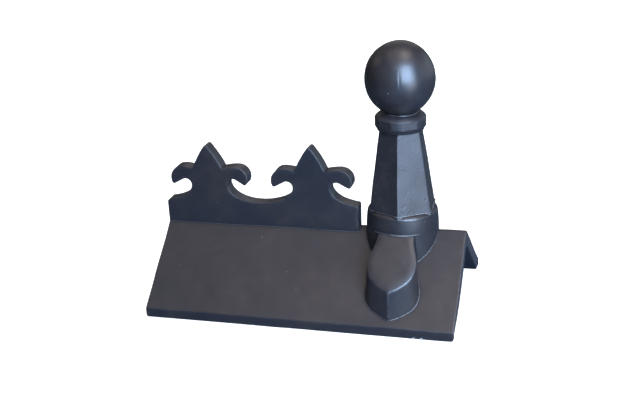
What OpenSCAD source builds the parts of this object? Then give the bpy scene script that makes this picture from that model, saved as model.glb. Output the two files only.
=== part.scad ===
// A ridge tile with a fleur-de-lis crest and a ball finial, in fired clay, made as one piece.
// X runs along the ridge, Y across it and Z up, and the tile stands on Z = 0.

/* [Ridge tile] */
// Length of the tile along the ridge
tile_l = 450; // [390:1:540]
// Width of the tile across both wings
tile_w = 250; // [245:1:320]
// Height of the ridge above the underside
ridge_h = 113.6; // [95:0.1:140]
// Height of the upright nose along each lower edge
nose_h = 14; // [6:0.5:24]
// Thickness of each wing, measured square to its slope
wing_t = 17; // [12:0.5:24]
// Rounding along the ridge
ridge_r = 5; // [2:0.5:12]
// Rounding along each lower edge
nose_r = 2; // [1:0.5:4]

/* [Crest] */
// Thickness of the crest plate
crest_t = 21.4; // [14:0.1:28]
// Height of the crest's low places above the ridge
crest_low_h = 28; // [16:0.5:45]
// Rise of the crest towards the finial, in degrees
crest_lean = 0.9; // [0:0.1:1.5]
// Number of fleurs-de-lis along the crest
fleur_count = 2; // [1:1:2]
// Distance between the middles of neighbouring fleurs
fleur_pitch = 156.5; // [150:0.5:165]
// Distance from the last fleur's middle to the end of the crest
crest_end = 69; // [64:0.5:74]
// Rounding of the crest's top corners
crest_corner_r = 3; // [1:0.5:6]

/* [Fleur-de-lis] */
// Height of the middle leaf's point above the crest's low places
fleur_h = 85.7; // [72:0.1:105]
// Rounding of the middle leaf's point
leaf_tip_r = 3.5; // [2:0.5:6]
// Half width of the middle leaf where the side leaves start
leaf_half_w = 22.7; // [18:0.1:26]
// Height of that start above the crest's low places
leaf_base_h = 51.4; // [46:0.1:53]
// Swelling of the middle leaf's sides
leaf_bulge = 1.3; // [0:0.1:3]
// Radius of the side leaf's curl
curl_r = 18.3; // [16:0.1:20]
// Distance of the curl's middle from the fleur's middle
curl_x = 42; // [40:0.1:44]
// Height of the curl's middle above the crest's low places
curl_h = 35.6; // [34:0.1:38]
// Rounding of the curl's tip
curl_tip_r = 3; // [1.5:0.1:4]
// Direction from the curl's middle to its tip, in degrees below the level
curl_tip_a = 22; // [10:1:35]
// Radius of the hollow under the curl
hollow_r = 9; // [7:0.1:10]
// Height of the hollow's middle above the crest's low places
hollow_h = 26.2; // [24:0.1:30]
// Half width of the fleur's stem between its hollows
stem_half_w = 28; // [24:0.1:30]

/* [Finial] */
// Gap between the end of the crest and the drum
crest_gap = 11; // [3:0.5:20]
// Radius of the drum at the foot of the finial
drum_r = 52; // [46:0.5:53]
// Height of the drum's wall above the ridge
drum_h = 27; // [20:0.5:40]
// Width of the drum's rounded shoulder
shoulder_w = 9; // [4:0.5:12]
// Height of the drum's rounded shoulder
shoulder_h = 8.3; // [4:0.1:12]
// Radius over the corners of the six-sided shaft, at the drum
shaft_r_low = 50.6; // [40:0.1:52]
// Radius over the corners of the six-sided shaft, at the collar
shaft_r_high = 32.4; // [26:0.1:36]
// Height of the shaft between the drum's shoulder and the collar
shaft_h = 112; // [80:0.5:150]
// Turn of the shaft's front corner away from square to the ridge, in degrees
shaft_turn = 3; // [0:0.5:30]
// Radius of the collar under the ball
collar_r = 36.3; // [33:0.1:42]
// Height of the collar's upright band
collar_band_h = 9; // [5:0.1:14]
// Height of the sloping part below the collar's band
collar_slope_h = 6.5; // [3:0.1:10]
// Radius of the collar at its lower edge
collar_low_r = 32; // [28:0.1:33]
// Width and height of the collar's rounded shoulder
collar_round = 9.2; // [5:0.1:11]
// Radius of the ball across the middle
ball_r = 49; // [40:0.5:56]
// Half height of the ball
ball_half_h = 52.2; // [42:0.1:60]
// How far the ball sinks into the collar
ball_sink = 5; // [2:0.5:9]

/* [Feet] */
// Distance from the ridge line to a foot's point
foot_reach = 117.4; // [112:0.1:121]
// Distance from the ridge line to the widest place of a foot
foot_wide_y = 84.5; // [80:0.5:88]
// Half width of a foot at its widest place
foot_half_w = 38.4; // [34:0.1:42]
// Half width of a foot at its neck, beside the drum
neck_half_w = 29; // [24:0.1:32]
// Radius of a foot's rounded flanks
foot_flank_r = 24; // [18:0.5:26]
// Turn of the flank before the flat front faces start, in degrees
foot_flank_a = 53; // [40:1:60]
// Swelling of the two front faces of a foot
foot_bulge = 1.4; // [0:0.1:3]
// Height of a foot above the slope, beside the drum
foot_h_high = 46.5; // [36:0.5:50]
// Height of a foot above the slope, at its point
foot_h_low = 40.5; // [30:0.5:46]
// Narrowing of a foot from its base to its top, at the widest place
foot_draft = 4; // [1:0.1:6]
// Thickness of the raised lip over each foot
lip_t = 3; // [1.5:0.1:5]
// How far the lip stands out from the drum
lip_out = 2.2; // [0.8:0.1:3]

/* [Hidden] */
$fn = 96;

// Tile: each wing falls from the ridge to the top of the nose
slope = (ridge_h - nose_h) / (tile_w / 2);
slope_a = atan(slope);
ridge_inner_h = ridge_h - wing_t / cos(slope_a);
function roof_z(y) = ridge_h - slope * abs(y);

// Crest: flush with the tile's left-hand end
crest_x0 = -tile_l / 2;
crest_len = (fleur_count - 1) * fleur_pitch + 2 * crest_end;
crest_mid = crest_x0 + crest_len / 2;
crest_low_z = ridge_h + crest_low_h;
crest_base_z = ridge_inner_h + 0.3 * (ridge_h - ridge_inner_h);

// Finial: clear of the crest's end by the gap, and stacked from the ridge up
finial_x = crest_x0 + crest_len + crest_gap + drum_r;
drum_z = ridge_h + drum_h;
shaft_z0 = drum_z + 0.5 * shoulder_h;
shaft_z1 = drum_z + shoulder_h + shaft_h;
collar_top_z = shaft_z1 + collar_slope_h + collar_band_h + collar_round;
ball_z = collar_top_z - ball_sink + ball_half_h;
overlap = 4;

// Arc about c from angle a0 to a1 in n steps; r is a radius or a pair of half axes
function arc(c, r, a0, a1, n) =
    let (rx = is_list(r) ? r[0] : r, ry = is_list(r) ? r[1] : r)
    [for (i = [0:n]) let (a = a0 + (a1 - a0) * i / n) c + [rx * cos(a), ry * sin(a)]];

// Shallow curve from p to q that swells to its left by s at the middle, without its two ends
function bow(p, q, s, n) =
    let (d = q - p, left = [-d[1], d[0]] / norm(d))
    [for (i = [1:n - 1]) let (t = i / n) p + d * t + left * 4 * s * t * (1 - t)];

function reversed(list) = [for (i = [len(list) - 1:-1:0]) list[i]];
function without_first(list) = [for (i = [1:len(list) - 1]) list[i]];

// The round hollow under a curl and the curl's round tip, joined by the line that touches both
hollow_c = [stem_half_w + hollow_r, hollow_h];
curl_c = [curl_x, curl_h];
curl_tip_c = curl_c + (curl_r - curl_tip_r) * [cos(curl_tip_a), -sin(curl_tip_a)];
tip_gap = curl_tip_c - hollow_c;
under_a = atan2(tip_gap[1], tip_gap[0]) - asin((hollow_r + curl_tip_r) / norm(tip_gap));

// The low places between stems are half ellipses
dip_half_w = fleur_pitch / 2 - stem_half_w;
leaf_tip_a = 28;

// Right half of one fleur as [distance from its middle, height], from its point down to reach
function fleur_half(reach) =
    let (tip = arc([0, fleur_h - leaf_tip_r], leaf_tip_r, 90, leaf_tip_a, 4),
         cusp = [leaf_half_w, leaf_base_h],
         crown = curl_c + [0, curl_r],
         crown_rise = (crown[1] - cusp[1]) / 4,
         dip_a = 180 + acos((fleur_pitch / 2 - reach) / dip_half_w))
    concat(
        tip,
        bow(tip[len(tip) - 1], cusp, leaf_bulge, 6),
        [cusp],
        bow(cusp, crown, crown_rise, 4),
        arc(curl_c, curl_r, 90, -curl_tip_a, 12),
        without_first(arc(curl_tip_c, curl_tip_r, -curl_tip_a, under_a - 90, 6)),
        arc(hollow_c, hollow_r, under_a + 90, 180, 9),
        without_first(arc([fleur_pitch / 2, hollow_h], [dip_half_w, hollow_h], 180, dip_a, 10)));

// Right half of the last fleur, down to the crest's rounded top corner
function fleur_end() =
    let (half = fleur_half(crest_end - crest_corner_r), last = half[len(half) - 1])
    concat(half, without_first(arc(last - [0, crest_corner_r], crest_corner_r, 90, 0, 4)));

// A half placed at fleur i, to the right (side 1) or mirrored to the left (side -1), left to right
function placed(half, i, side) =
    let (x = crest_x0 + crest_end + i * fleur_pitch,
         pts = [for (p = half) [x + side * p[0], crest_low_z + p[1]]])
    side < 0 ? reversed(pts) : without_first(pts);

function crest_outline() =
    let (last = fleur_count - 1,
         top = [for (i = [0:last])
                   each concat(placed(i == 0 ? fleur_end() : fleur_half(fleur_pitch / 2), i, -1),
                               placed(i == last ? fleur_end() : fleur_half(fleur_pitch / 2), i, 1))],
         leaned = [for (p = top) [p[0], p[1] + tan(crest_lean) * (p[0] - crest_mid)]])
    concat([[crest_x0, crest_base_z]],
           [for (i = [0:len(leaned) - 1]) if (i == 0 || norm(leaned[i] - leaned[i - 1]) > 0.01) leaned[i]],
           [[crest_x0 + crest_len, crest_base_z]]);

module crest() {
    color("slategray")
    rotate([90, 0, 0])
    linear_extrude(crest_t, center = true)
    polygon(crest_outline());
}

// Section of the tile across the ridge, as [y, z]
function tile_outline() =
    let (half = tile_w / 2,
         turn = nose_r * tan(45 - slope_a / 2),
         ridge_c = [0, ridge_h - ridge_r / cos(slope_a)],
         nose_c = [half - nose_r, nose_h - turn])
    concat(
        arc(ridge_c, ridge_r, 90 + slope_a, 90 - slope_a, 8),
        arc(nose_c, nose_r, 90 - slope_a, 0, 4),
        arc([half - nose_r, nose_r], nose_r, 0, -90, 3),
        arc([nose_r - half, nose_r], nose_r, -90, -180, 3),
        arc([-nose_c[0], nose_c[1]], nose_r, 180, 90 + slope_a, 4));

module along_ridge(length) {
    rotate([90, 0, 90])
    linear_extrude(length, center = true)
    children();
}

module tile() {
    color("dimgray")
    along_ridge(tile_l)
    polygon(tile_outline());
}

// The open angle under the tile, which stops whatever is luted on top from reaching through
module underside() {
    foot_y = ridge_inner_h / slope;
    along_ridge(tile_l + 2)
    polygon([[-foot_y - 1 / slope, -1], [0, ridge_inner_h], [foot_y + 1 / slope, -1]]);
}

module drum() {
    wall_foot_z = roof_z(drum_r) - overlap;
    rotate_extrude()
    polygon(concat(
        [[0, wall_foot_z], [drum_r, wall_foot_z]],
        arc([drum_r - shoulder_w, drum_z], [shoulder_w, shoulder_h], 0, 90, 8),
        [[0, drum_z + shoulder_h]]));
}

// Shallow disc set towards one foot, so that its edge shows over that foot and dies away at the sides
module lip() {
    show_a = 36;
    front = drum_r + lip_out;
    meet = drum_r * [sin(show_a), cos(show_a)];
    shift = (front * front - meet[0] * meet[0] - meet[1] * meet[1]) / (2 * (front - meet[1]));
    translate([0, -shift, roof_z(drum_r) + foot_h_high])
    cylinder(h = lip_t, r = front - shift);
}

module shaft() {
    full_h = shaft_z1 - shaft_z0;
    rotate([0, 0, shaft_turn - 90])
    translate([0, 0, shaft_z0])
    cylinder(h = full_h, r1 = shaft_r_low, r2 = shaft_r_high, $fn = 6);
}

module collar() {
    band_z = shaft_z1 + collar_slope_h;
    round_z = band_z + collar_band_h;
    rotate_extrude()
    polygon(concat(
        [[0, shaft_z1], [collar_low_r, shaft_z1], [collar_r, band_z]],
        arc([collar_r - collar_round, round_z], collar_round, 0, 90, 8),
        [[0, collar_top_z]]));
}

module ball() {
    rotate_extrude()
    polygon(arc([0, ball_z], [ball_r, ball_half_h], -90, 90, 32));
}

// Right half of a foot's base as [x, distance from the ridge line], from its neck to its point
function foot_half() =
    let (neck_y = drum_r - 2,
         flank_c = [foot_half_w - foot_flank_r, foot_wide_y],
         nose = flank_c + foot_flank_r * [cos(foot_flank_a), sin(foot_flank_a)],
         point = [0, foot_reach])
    concat(
        [[neck_half_w, neck_y - 2 * overlap]],
        [for (i = [0:7]) let (t = i / 8, swell = (1 - cos(180 * t)) / 2)
            [neck_half_w + (foot_half_w - neck_half_w) * swell, neck_y + (foot_wide_y - neck_y) * t]],
        arc(flank_c, foot_flank_r, 0, foot_flank_a, 8),
        bow(nose, point, -foot_bulge, 4),
        [point]);

// Ring of a foot at height h above the slope, drawn in by part of its draft and falling to h_point
function foot_ring(draft, h, h_point) =
    let (half = foot_half(),
         narrow = 1 - draft / foot_half_w,
         shorten = 1 - draft / foot_reach,
         ring = concat(half, [for (p = without_first(reversed(half))) [-p[0], p[1]]]))
    [for (p = ring)
        let (y = drum_r + (p[1] - drum_r) * shorten, t = (y - drum_r) / (foot_reach - drum_r))
        [p[0] * narrow, -y, roof_z(y) + h + (h_point - h) * t]];

// Faces that close a ring of n points from side to side; its first point is number at
function foot_cap(n, at) =
    [for (i = [0:(n - 3) / 2]) let (far = n - 1 - i)
        i + 1 == far - 1 ? [at + i, at + i + 1, at + far] : [at + i, at + i + 1, at + far - 1, at + far]];

// A foot is one skin from a ring inside the wing up to its sloping top
module foot() {
    low = foot_ring(0, -overlap, -overlap);
    top = foot_ring(foot_draft, foot_h_high, foot_h_low);
    n = len(low);
    polyhedron(
        points = concat(low, top),
        faces = concat(
            [for (face = foot_cap(n, 0)) reversed(face)],
            foot_cap(n, n),
            [for (i = [0:n - 1]) let (j = (i + 1) % n) [i, j, n + j, n + i]]));
}

module finial() {
    color("darkslategray")
    translate([finial_x, 0, 0]) {
        drum();
        shaft();
        collar();
        ball();
        for (turn = [0, 180]) rotate([0, 0, turn]) {
            foot();
            lip();
        }
    }
}

module finial_ridge_tile() {
    difference() {
        union() {
            tile();
            crest();
            finial();
        }
        underside();
    }
}

finial_ridge_tile();
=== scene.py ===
# %% [markdown]
# # A crested ridge tile with a ball finial, in fired blue clay
#
# The real tile is one piece of clay. The angle is pressed in a mould, and while it is leather hard the
# crest, the drum, the six-sided shaft, the collar, the ball and the two feet are luted on with slip.
# It could be drawn as one sculpted mesh. Here each part is a surface with its own formula instead, and
# a boolean joins them into one skin, because that is how the maker works: part by part, seam by seam.

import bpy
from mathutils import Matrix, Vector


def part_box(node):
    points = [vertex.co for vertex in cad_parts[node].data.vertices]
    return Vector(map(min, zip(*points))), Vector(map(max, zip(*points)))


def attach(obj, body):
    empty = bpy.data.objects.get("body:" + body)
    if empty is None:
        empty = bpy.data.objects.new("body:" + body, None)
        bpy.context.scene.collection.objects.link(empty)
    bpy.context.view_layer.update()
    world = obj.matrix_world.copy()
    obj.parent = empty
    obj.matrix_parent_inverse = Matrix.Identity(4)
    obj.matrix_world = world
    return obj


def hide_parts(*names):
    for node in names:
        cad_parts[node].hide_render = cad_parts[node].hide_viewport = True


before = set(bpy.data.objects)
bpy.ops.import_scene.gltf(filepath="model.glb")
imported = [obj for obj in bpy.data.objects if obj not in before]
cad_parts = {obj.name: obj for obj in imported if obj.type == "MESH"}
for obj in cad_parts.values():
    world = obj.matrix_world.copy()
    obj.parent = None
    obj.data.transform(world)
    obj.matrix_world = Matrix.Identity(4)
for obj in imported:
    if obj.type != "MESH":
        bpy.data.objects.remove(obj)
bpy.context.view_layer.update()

# %% Modules and units
import math

import bmesh
import bpy
import numpy as np
from mathutils import Matrix, Vector

MM = 0.001
low, high = (np.array(corner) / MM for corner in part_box("finial_ridge_tile"))
TILE_L, TILE_W, FULL_H = high - low
print(f"tile {TILE_L:.1f} long, {TILE_W:.1f} wide, {FULL_H:.1f} high, mm")

# %% [markdown]
# ## The sizes
#
# Every shape below is worked out in millimetres and turned into metres once, when its mesh is made.
# The tile's length, width and full height come from the frame. The rest are the driving sizes of the
# same construction, so that each part lands where the solid model has it.

# %% Sizes of the tile and the crest
RIDGE_H, NOSE_H, WING_T = 113.6, 14.0, 17.0
RIDGE_R, NOSE_R, FOOT_EDGE_R = 5.0, 3.4, 2.0
END_R = 1.3
SLOPE = (RIDGE_H - NOSE_H) / (TILE_W / 2)
FALL = math.degrees(math.atan(SLOPE))
INNER_H = RIDGE_H - WING_T / math.cos(math.radians(FALL))

CREST_T, CREST_LOW_H, CREST_LEAN, FLEUR_SHIFT = 21.4, 28.0, 0.9, 1.3
FLEUR_COUNT, FLEUR_PITCH, CREST_END = 2, 156.5, 69.0
CREST_X0 = -TILE_L / 2
CREST_LEN = (FLEUR_COUNT - 1) * FLEUR_PITCH + 2 * CREST_END
CREST_LOW_Z = RIDGE_H + CREST_LOW_H
CREST_GAP = 11.0

# %% Sizes of the finial
DRUM_R, DRUM_H, SHOULDER_W, SHOULDER_H, SHOULDER_DIP = 52.0, 27.0, 9.0, 8.3, 2.3
SHAFT_R_LOW, SHAFT_R_HIGH, SHAFT_H, SHAFT_TURN = 50.6, 32.4, 112.0, 3.0
COLLAR_R, COLLAR_LOW_R, COLLAR_SLOPE_H, COLLAR_BAND_H, COLLAR_ROUND = 36.3, 32.0, 6.5, 9.0, 9.2
BALL_R, BALL_HALF_H = 49.0, 52.2
FINIAL_X = CREST_X0 + CREST_LEN + CREST_GAP + DRUM_R
DRUM_Z = RIDGE_H + DRUM_H
SHOULDER_Z = DRUM_Z + SHOULDER_H
SHAFT_Z0 = DRUM_Z + SHOULDER_H / 2
SHAFT_Z1 = SHOULDER_Z + SHAFT_H
COLLAR_TOP = SHAFT_Z1 + COLLAR_SLOPE_H + COLLAR_BAND_H + COLLAR_ROUND
BALL_Z = FULL_H - BALL_HALF_H
OVERLAP = 4.0
print(f"finial stands at x = {FINIAL_X:.1f} mm, ball's middle at z = {BALL_Z:.1f} mm")

# %% [markdown]
# ## Lines that a shape is made from
#
# A potter cuts with templates: round stretches, shallow swellings and straight runs. Curves could be
# Bezier objects, but small arrays of points are easier to measure and to join. So one helper gives an
# arc, one a shallow swelling, which is a straight run where its height is nothing, one drops points
# that lie too close, and one moves a whole outline inwards.

# %% Arc, swelling, spacing, inset
def unit(degrees):
    """A vector of length one at that angle."""
    return np.array([math.cos(math.radians(degrees)), math.sin(math.radians(degrees))])


def arc(centre, radius, start, stop, steps):
    """Centre plus radius times (cosine, sine) of angles from start to stop, in degrees."""
    angles = np.radians(np.linspace(start, stop, steps + 1))
    return np.asarray(centre) + np.asarray(radius) * np.stack([np.cos(angles), np.sin(angles)], axis=1)


def swell(p, q, height, steps):
    """Points between p and q, pushed to the left of that line by height times 4 t (1 - t)."""
    p, q = np.asarray(p, float), np.asarray(q, float)
    t = np.linspace(0, 1, steps + 1)[1:-1, None]
    along = q - p
    left = np.array([-along[1], along[0]]) / np.hypot(*along)
    return p + along * t + left * 4 * height * t * (1 - t)


def spaced(points, least):
    """A line's points, less each one that lies within least of the one before it."""
    steps = np.linalg.norm(np.diff(points, axis=0), axis=1)
    return points[np.concatenate([[True], steps > least])]


def left_normals(steps):
    """Each step turned a quarter to its left and cut to length one."""
    return np.stack([-steps[:, 1], steps[:, 0]], axis=1) / np.linalg.norm(steps, axis=1)[:, None]


def inset(outline, distance, least_cosine=0.5):
    """A closed outline, counter-clockwise, moved inwards: each corner goes along the mean of its two
    edges' normals, divided by the cosine of half the turn so that the edges stay parallel."""
    before = left_normals(outline - np.roll(outline, 1, axis=0))
    after = left_normals(np.roll(outline, -1, axis=0) - outline)
    mean = before + after
    mean /= np.linalg.norm(mean, axis=1)[:, None]
    cosine = np.clip((mean * before).sum(axis=1), least_cosine, 1)[:, None]
    return outline + mean * distance / cosine


# %% [markdown]
# ## Skins and solids
#
# Most parts are a ring of points carried along a path, which is a grid with two parameters: one goes
# round the ring and one goes along. The grid's faces are worked out as one array. The ends close with
# a flat face or a fan to a pole. A big flat face is scored into squares where the clay has to ripple.

# %% From rings to a closed solid
MERGE_WITHIN, SCORE_WITHIN = 0.01, 0.02


def skin(rings, first=None, last=None):
    """Points and faces of rings joined one to the next. An end closes with one flat face, with a fan
    to a point if one is given, or stays open if it is False."""
    count, size = rings.shape[:2]
    i, j = np.meshgrid(np.arange(count - 1), np.arange(size), indexing="ij")
    here, beside = i * size + j, i * size + (j + 1) % size
    faces = np.stack([here, beside, beside + size, here + size], axis=-1).reshape(-1, 4).tolist()
    points = rings.reshape(-1, 3)
    for end, tip in ((0, first), (count - 1, last)):
        ring = end * size + np.arange(size)
        if tip is None:
            faces.append(ring.tolist())
        elif tip is not False:
            faces += np.stack([ring, np.roll(ring, -1), np.full(size, len(points))], axis=1).tolist()
            points = np.vstack([points, tip])
    return points, faces


def ruled(mesh, spacing):
    """Big flat faces scored along X and Z at that spacing, so that they can follow the clay."""
    reach = np.array([v.co for v in mesh.verts]) / MM
    for axis in (0, 2):
        normal = [0, 0, 0]
        normal[axis] = 1
        for at in np.arange(reach[:, axis].min() + spacing, reach[:, axis].max(), spacing):
            place = [0, 0, 0]
            place[axis] = at * MM
            parts = mesh.verts[:] + mesh.edges[:] + mesh.faces[:]
            near = SCORE_WITHIN * MM
            bmesh.ops.bisect_plane(mesh, geom=parts, dist=near, plane_co=place, plane_no=normal)


def solid(name, shell, spacing=None, slip=0.0, tooled=0.0):
    """One closed mesh object from points in mm and faces: doubles merged, faces turned out. Its faces get
    two marks for the finish to read later: how much painted highlight a seam or lip gets, with 2 for
    bare broken clay and grit, and how far they were scraped with a tool."""
    mesh = bmesh.new()
    points, faces = shell
    corners = [mesh.verts.new(p) for p in (np.asarray(points) * MM).tolist()]
    for face in faces:
        mesh.faces.new([corners[i] for i in face])
    bmesh.ops.remove_doubles(mesh, verts=mesh.verts, dist=MERGE_WITHIN * MM)
    bmesh.ops.recalc_face_normals(mesh, faces=mesh.faces)
    if mesh.calc_volume(signed=True) < 0:
        bmesh.ops.reverse_faces(mesh, faces=mesh.faces)
    if spacing:
        ruled(mesh, spacing)
    open_edges = sum(not edge.is_manifold for edge in mesh.edges)
    data = bpy.data.meshes.new(name)
    mesh.to_mesh(data)
    mesh.free()
    # the first mark is the painted highlight on seams and lips, with 2 for bare clay; the second is tool
    # scraping
    for mark, amount in (("slip", slip), ("tooled", tooled)):
        layer = data.attributes.new(mark, "FLOAT", "FACE")
        layer.data.foreach_set("value", np.full(len(data.polygons), amount))
    made = bpy.data.objects.new(name, data)
    bpy.context.scene.collection.objects.link(made)
    print(f"{name}: {len(data.polygons)} faces, {open_edges} open edges")
    return made


# %% [markdown]
# ## The angle
#
# The tile's section is pressed clay: a rounded ridge, two straight wings and a short upright nose. It
# could be a box cut twice. A section carried along the ridge is better, because the ring can shrink at
# the two ends, which gives the soft edge that a wet sponge leaves. The open angle below is cut last.

# %% The section of the tile
def roof_z(y):
    """Height of the wings' outer face, with the ridge rounded by an arc that touches both wings."""
    y = np.abs(y)
    top = RIDGE_H - RIDGE_R / math.cos(math.radians(FALL))
    rounded = top + np.sqrt(np.clip(RIDGE_R**2 - y**2, 0, None))
    return np.where(y < RIDGE_R * math.sin(math.radians(FALL)), rounded, RIDGE_H - SLOPE * y)


def tile_half():
    """Right half of the section, from the middle of the underside, round the nose, up to the ridge."""
    half = TILE_W / 2
    turn = NOSE_R * math.tan(math.radians(45 - FALL / 2))
    ridge = arc((0, RIDGE_H - RIDGE_R / math.cos(math.radians(FALL))), RIDGE_R, 90 - FALL, 90, 5)
    nose = arc((half - NOSE_R, NOSE_H - turn), NOSE_R, 0, 90 - FALL, 5)
    edge = arc((half - FOOT_EDGE_R, FOOT_EDGE_R), FOOT_EDGE_R, -90, 0, 4)
    ground = swell((0, 0), edge[0], 0, 24)
    wall = swell(edge[-1], nose[0], 0, 3)
    wing = swell(nose[-1], ridge[0], 0, 34)
    return np.vstack([ground, edge, wall, nose, wing, ridge])


def tile_section():
    """The whole closed section as (y, z), counter-clockwise from the middle of the underside."""
    half = tile_half()
    left = half[::-1][1:] * (-1, 1)
    return np.vstack([[[0, 0]], half, left])


section = tile_section()
print(f"the section has {len(section)} points; the wings fall at {FALL:.1f} degrees")

# %% The section carried along the ridge
GROUND_CORNER_LEFT, GROUND_CORNER_RIGHT = 4.0, 5.5
QUARTER_TURN = np.radians(np.linspace(0, 90, 4))


def stations(length, end_r, step):
    """Places along a length with a quarter circle at each end: (place, how far the ring shrinks)."""
    clear = 2.4 * end_r
    ends = np.stack([end_r * (1 - np.cos(QUARTER_TURN)), end_r * (1 - np.sin(QUARTER_TURN))], axis=1)
    ends = np.vstack([ends, [[clear, 0]]])
    middle = np.linspace(clear, length - clear, int(length / step))[1:-1]
    places = np.concatenate([ends[:, 0], middle, length - ends[::-1, 0]])
    shrinks = np.concatenate([ends[:, 1], 0 * middle, ends[::-1, 1]])
    return places - length / 2, shrinks


def worn_corner(x, y, z):
    """Ends that draw in near the ground: by R minus the root of R squared less (R - z) squared."""
    radius = np.where(x > 0, GROUND_CORNER_RIGHT, GROUND_CORNER_LEFT)
    deep = np.clip(radius - z, 0, radius)
    reach = TILE_L / 2 - (radius - np.sqrt(radius**2 - deep**2))
    return x * reach / (TILE_L / 2)


def angle_block():
    """Rings of the section, shrunk at the ends and drawn in at the ground corners."""
    rings = []
    for x, shrink in zip(*stations(TILE_L, END_R, step=5)):
        rings.append(np.column_stack([np.full(len(section), x), inset(section, shrink)]))
    rings = np.stack(rings)
    rings[..., 0] = worn_corner(*np.moveaxis(rings, -1, 0))
    return skin(rings)


tile = solid("angle", angle_block())

# %% The open angle under the tile
def underside():
    """A wedge to cut away: its roof is inner height minus slope times the root of y squared plus a
    fillet squared, and it flares a little at both ends, which leaves those inner edges soft."""
    fillet, past_end, past_ground, across = 3.0, 3, 1, np.linspace(-1, 1, 61)
    places, flares = stations(TILE_L, END_R, step=7)
    places = np.concatenate([[places[0] - past_end], places, [places[-1] + past_end]])
    flares = np.concatenate([[flares[0]], flares, [flares[-1]]])
    rings = []
    for x, flare in zip(places, flares):
        top = INNER_H + flare / math.cos(math.radians(FALL))
        y = across * (top + past_ground) / SLOPE
        rings.append(np.column_stack([np.full(len(y), x), y, top - SLOPE * np.sqrt(y**2 + fillet**2)]))
    return skin(np.stack(rings))


wedge = solid("underside", underside())

# %% [markdown]
# ## The crest
#
# The crest is a slab of clay about 21 mm thick, cut with a wire round a template of two fleurs-de-lis.
# A curve object with an extrusion would do for a plain cut. The outline is worked out as points here,
# so that its edges can be sponged round and its two big faces can carry a net that follows the clay.

# %% Half a fleur-de-lis
FLEUR_H, LEAF_TIP_R, LEAF_TIP_ANGLE, LEAF_HALF_W, LEAF_BASE_H, LEAF_BULGE = 86.7, 3.5, 28, 22.7, 51.4, 1.3
CURL_R, CURL_X, CURL_H, CURL_TIP_R, CURL_TIP_ANGLE = 18.3, 42.0, 35.6, 3.4, 22
HOLLOW_R, HOLLOW_H, STEM_HALF_W = 9.0, 26.2, 28.0
HAND_CUT, CURL_FOLLOWS, HOLLOW_FOLLOWS = 1.6, 0.7, 0.3


def half_fleur(reach, side):
    """Right half of a fleur from its point down to reach: point, swelling leaf, curl, curl's tip,
    round hollow, then a quarter of an ellipse to the low place. The right side stands further out."""
    out = side * HAND_CUT
    tip = arc((0, FLEUR_H - LEAF_TIP_R), LEAF_TIP_R, 90, LEAF_TIP_ANGLE, 6)
    cusp = np.array([LEAF_HALF_W, LEAF_BASE_H])
    curl = np.array([CURL_X + out * CURL_FOLLOWS, CURL_H])
    crown = curl + (0, CURL_R)
    curl_tip = curl + (CURL_R - CURL_TIP_R) * unit(-CURL_TIP_ANGLE)
    hollow = np.array([STEM_HALF_W + out + HOLLOW_R, HOLLOW_H + out * HOLLOW_FOLLOWS])
    gap = curl_tip - hollow
    under = math.degrees(math.atan2(gap[1], gap[0]) - math.asin((HOLLOW_R + CURL_TIP_R) / np.hypot(*gap)))
    dip = np.array([FLEUR_PITCH / 2 - STEM_HALF_W - out, hollow[1]])
    stop = 180 + math.degrees(math.acos((FLEUR_PITCH / 2 - reach) / dip[0]))
    return np.vstack([
        tip,
        swell(tip[-1], cusp, LEAF_BULGE, 12),
        [cusp],
        swell(cusp, crown, (crown[1] - cusp[1]) / 4, 8),
        arc(curl, CURL_R, 90, -CURL_TIP_ANGLE, 24),
        arc(curl_tip, CURL_TIP_R, -CURL_TIP_ANGLE, under - 90, 10)[1:],
        arc(hollow, HOLLOW_R, under + 90, 180, 16),
        arc((FLEUR_PITCH / 2, hollow[1]), dip, 180, stop, 22)[1:],
    ])


# %% The whole outline of the crest
CREST_ROOT, CREST_CORNER_LEFT, CREST_CORNER_RIGHT, CREST_END_BULGE = 0.3, 5.0, 3.0, 0.9
SHIFT_RUN = 30
CREST_EDGE_R, CREST_INSIDE_END = 0.6, 0.3


def last_half(side, corner_r):
    """The outer half of an end fleur, with the crest's rounded top corner."""
    half = half_fleur(CREST_END - corner_r, side)
    return np.vstack([half, arc(half[-1] - (0, corner_r), corner_r, 90, 0, 6)[1:]])


def crest_outline():
    """Both fleurs side by side, set a little off their middles as the maker's hand left them, leaned
    by shearing, and closed along a line inside the ridge."""
    base_z = INNER_H + CREST_ROOT * (RIDGE_H - INNER_H)
    top = []
    for i in range(FLEUR_COUNT):
        at = (CREST_X0 + CREST_END + i * FLEUR_PITCH, CREST_LOW_Z)
        left, right = (half_fleur(FLEUR_PITCH / 2, side) for side in (-1, 1))
        if i == 0:
            left = last_half(-1, CREST_CORNER_LEFT)
        if i == FLEUR_COUNT - 1:
            right = last_half(1, CREST_CORNER_RIGHT)
        top += [(left * (-1, 1) + at)[::-1], (right + at)[1:]]
    top = spaced(np.vstack(top), least=0.05)
    from_end = np.minimum(top[:, 0] - CREST_X0, CREST_X0 + CREST_LEN - top[:, 0])
    top[:, 0] -= FLEUR_SHIFT * np.clip(from_end / SHIFT_RUN, 0, 1)
    top[:, 1] += math.tan(math.radians(CREST_LEAN)) * (top[:, 0] - CREST_X0 - CREST_LEN / 2)
    left_foot, right_foot = (top[0][0], base_z), (top[-1][0], base_z)
    outline = np.vstack([
        top,
        swell(top[-1], right_foot, 0, 8),
        [right_foot],
        swell(right_foot, left_foot, 0, 60),
        [left_foot],
        swell(left_foot, top[0], CREST_END_BULGE, 10),
    ])
    return outline[::-1]


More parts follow.
